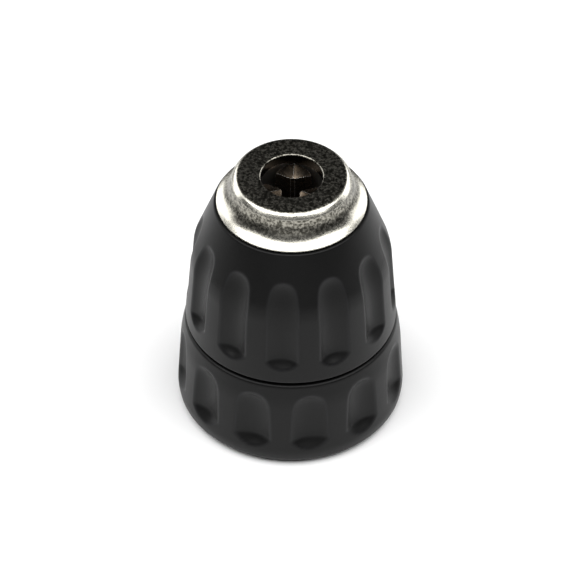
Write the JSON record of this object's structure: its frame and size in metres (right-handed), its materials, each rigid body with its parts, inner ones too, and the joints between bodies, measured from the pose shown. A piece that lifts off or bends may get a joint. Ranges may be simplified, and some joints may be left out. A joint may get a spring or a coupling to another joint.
{
  "type": "drill chuck",
  "caption": "Keyless drill chuck with two fluted hand sleeves, a steel nosepiece and three self-centring jaws driven by a split nut.",
  "frame": {"origin": "centre of the body's rear face, which is the lowest point of the part", "axes": "+Z along the spindle axis towards the nose; +X and +Y across it, with -Y towards the viewer of the front"},
  "size_m": [0.0378, 0.0378, 0.048],
  "materials": {
    "body_steel": "turned, lightly oiled steel",
    "plated_steel": "nickel-plated steel, satin with fine mottling",
    "jaw_steel": "hardened and ground steel",
    "nut_steel": "hardened steel, phosphated",
    "bearing_steel": "polished bearing steel",
    "cage_brass": "stamped brass strip",
    "sleeve_plastic": "glass-filled nylon, matte black"
  },
  "bodies": {
    "body": {"chuck_body": "body_steel", "rear_sleeve": "sleeve_plastic", "nosepiece": "plated_steel", "rear_race": "bearing_steel"},
    "sleeve": {"front_sleeve": "sleeve_plastic", "nut_half_a": "nut_steel", "nut_half_b": "nut_steel", "nut_band": "nut_steel", "front_race": "bearing_steel"},
    "bearing": {"ball_cage": "cage_brass", "ball_1": "bearing_steel", "ball_2": "bearing_steel", "ball_3": "bearing_steel", "ball_4": "bearing_steel", "ball_5": "bearing_steel", "ball_6": "bearing_steel", "ball_7": "bearing_steel", "ball_8": "bearing_steel", "ball_9": "bearing_steel", "ball_10": "bearing_steel", "ball_11": "bearing_steel", "ball_12": "bearing_steel", "ball_13": "bearing_steel", "ball_14": "bearing_steel", "ball_15": "bearing_steel", "ball_16": "bearing_steel", "ball_17": "bearing_steel", "ball_18": "bearing_steel"},
    "jaw_1": {"jaw_1": "jaw_steel"},
    "jaw_2": {"jaw_2": "jaw_steel"},
    "jaw_3": {"jaw_3": "jaw_steel"}
  },
  "joints": [
    {"name": "sleeve_turn", "type": "hinge", "parent": "body", "child": "sleeve", "pos_m": [0, 0, 0.025], "axis": [0, 0, 1], "range_deg": [-1600, 2960]},
    {"name": "cage_turn", "type": "hinge", "parent": "body", "child": "bearing", "pos_m": [0, 0, 0.0195], "axis": [0, 0, 1], "range_deg": [-801, 1481]},
    {"name": "jaw_1_slide", "type": "slide", "parent": "body", "child": "jaw_1", "axis": [-0.0233, -0.2662, 0.9636], "range_m": [-0.01161, 0.00628]},
    {"name": "jaw_2_slide", "type": "slide", "parent": "body", "child": "jaw_2", "axis": [0.2422, 0.1129, 0.9636], "range_m": [-0.01161, 0.00628]},
    {"name": "jaw_3_slide", "type": "slide", "parent": "body", "child": "jaw_3", "axis": [-0.2189, 0.1533, 0.9636], "range_m": [-0.01161, 0.00628]}
  ],
  "couplings": [
    {"joint": "cage_turn", "follows": "sleeve_turn", "ratio": 0.5},
    {"joint": "jaw_1_slide", "follows": "sleeve_turn", "m_per_rad": -0.00022459},
    {"joint": "jaw_2_slide", "follows": "sleeve_turn", "m_per_rad": -0.00022459},
    {"joint": "jaw_3_slide", "follows": "sleeve_turn", "m_per_rad": -0.00022459}
  ]
}
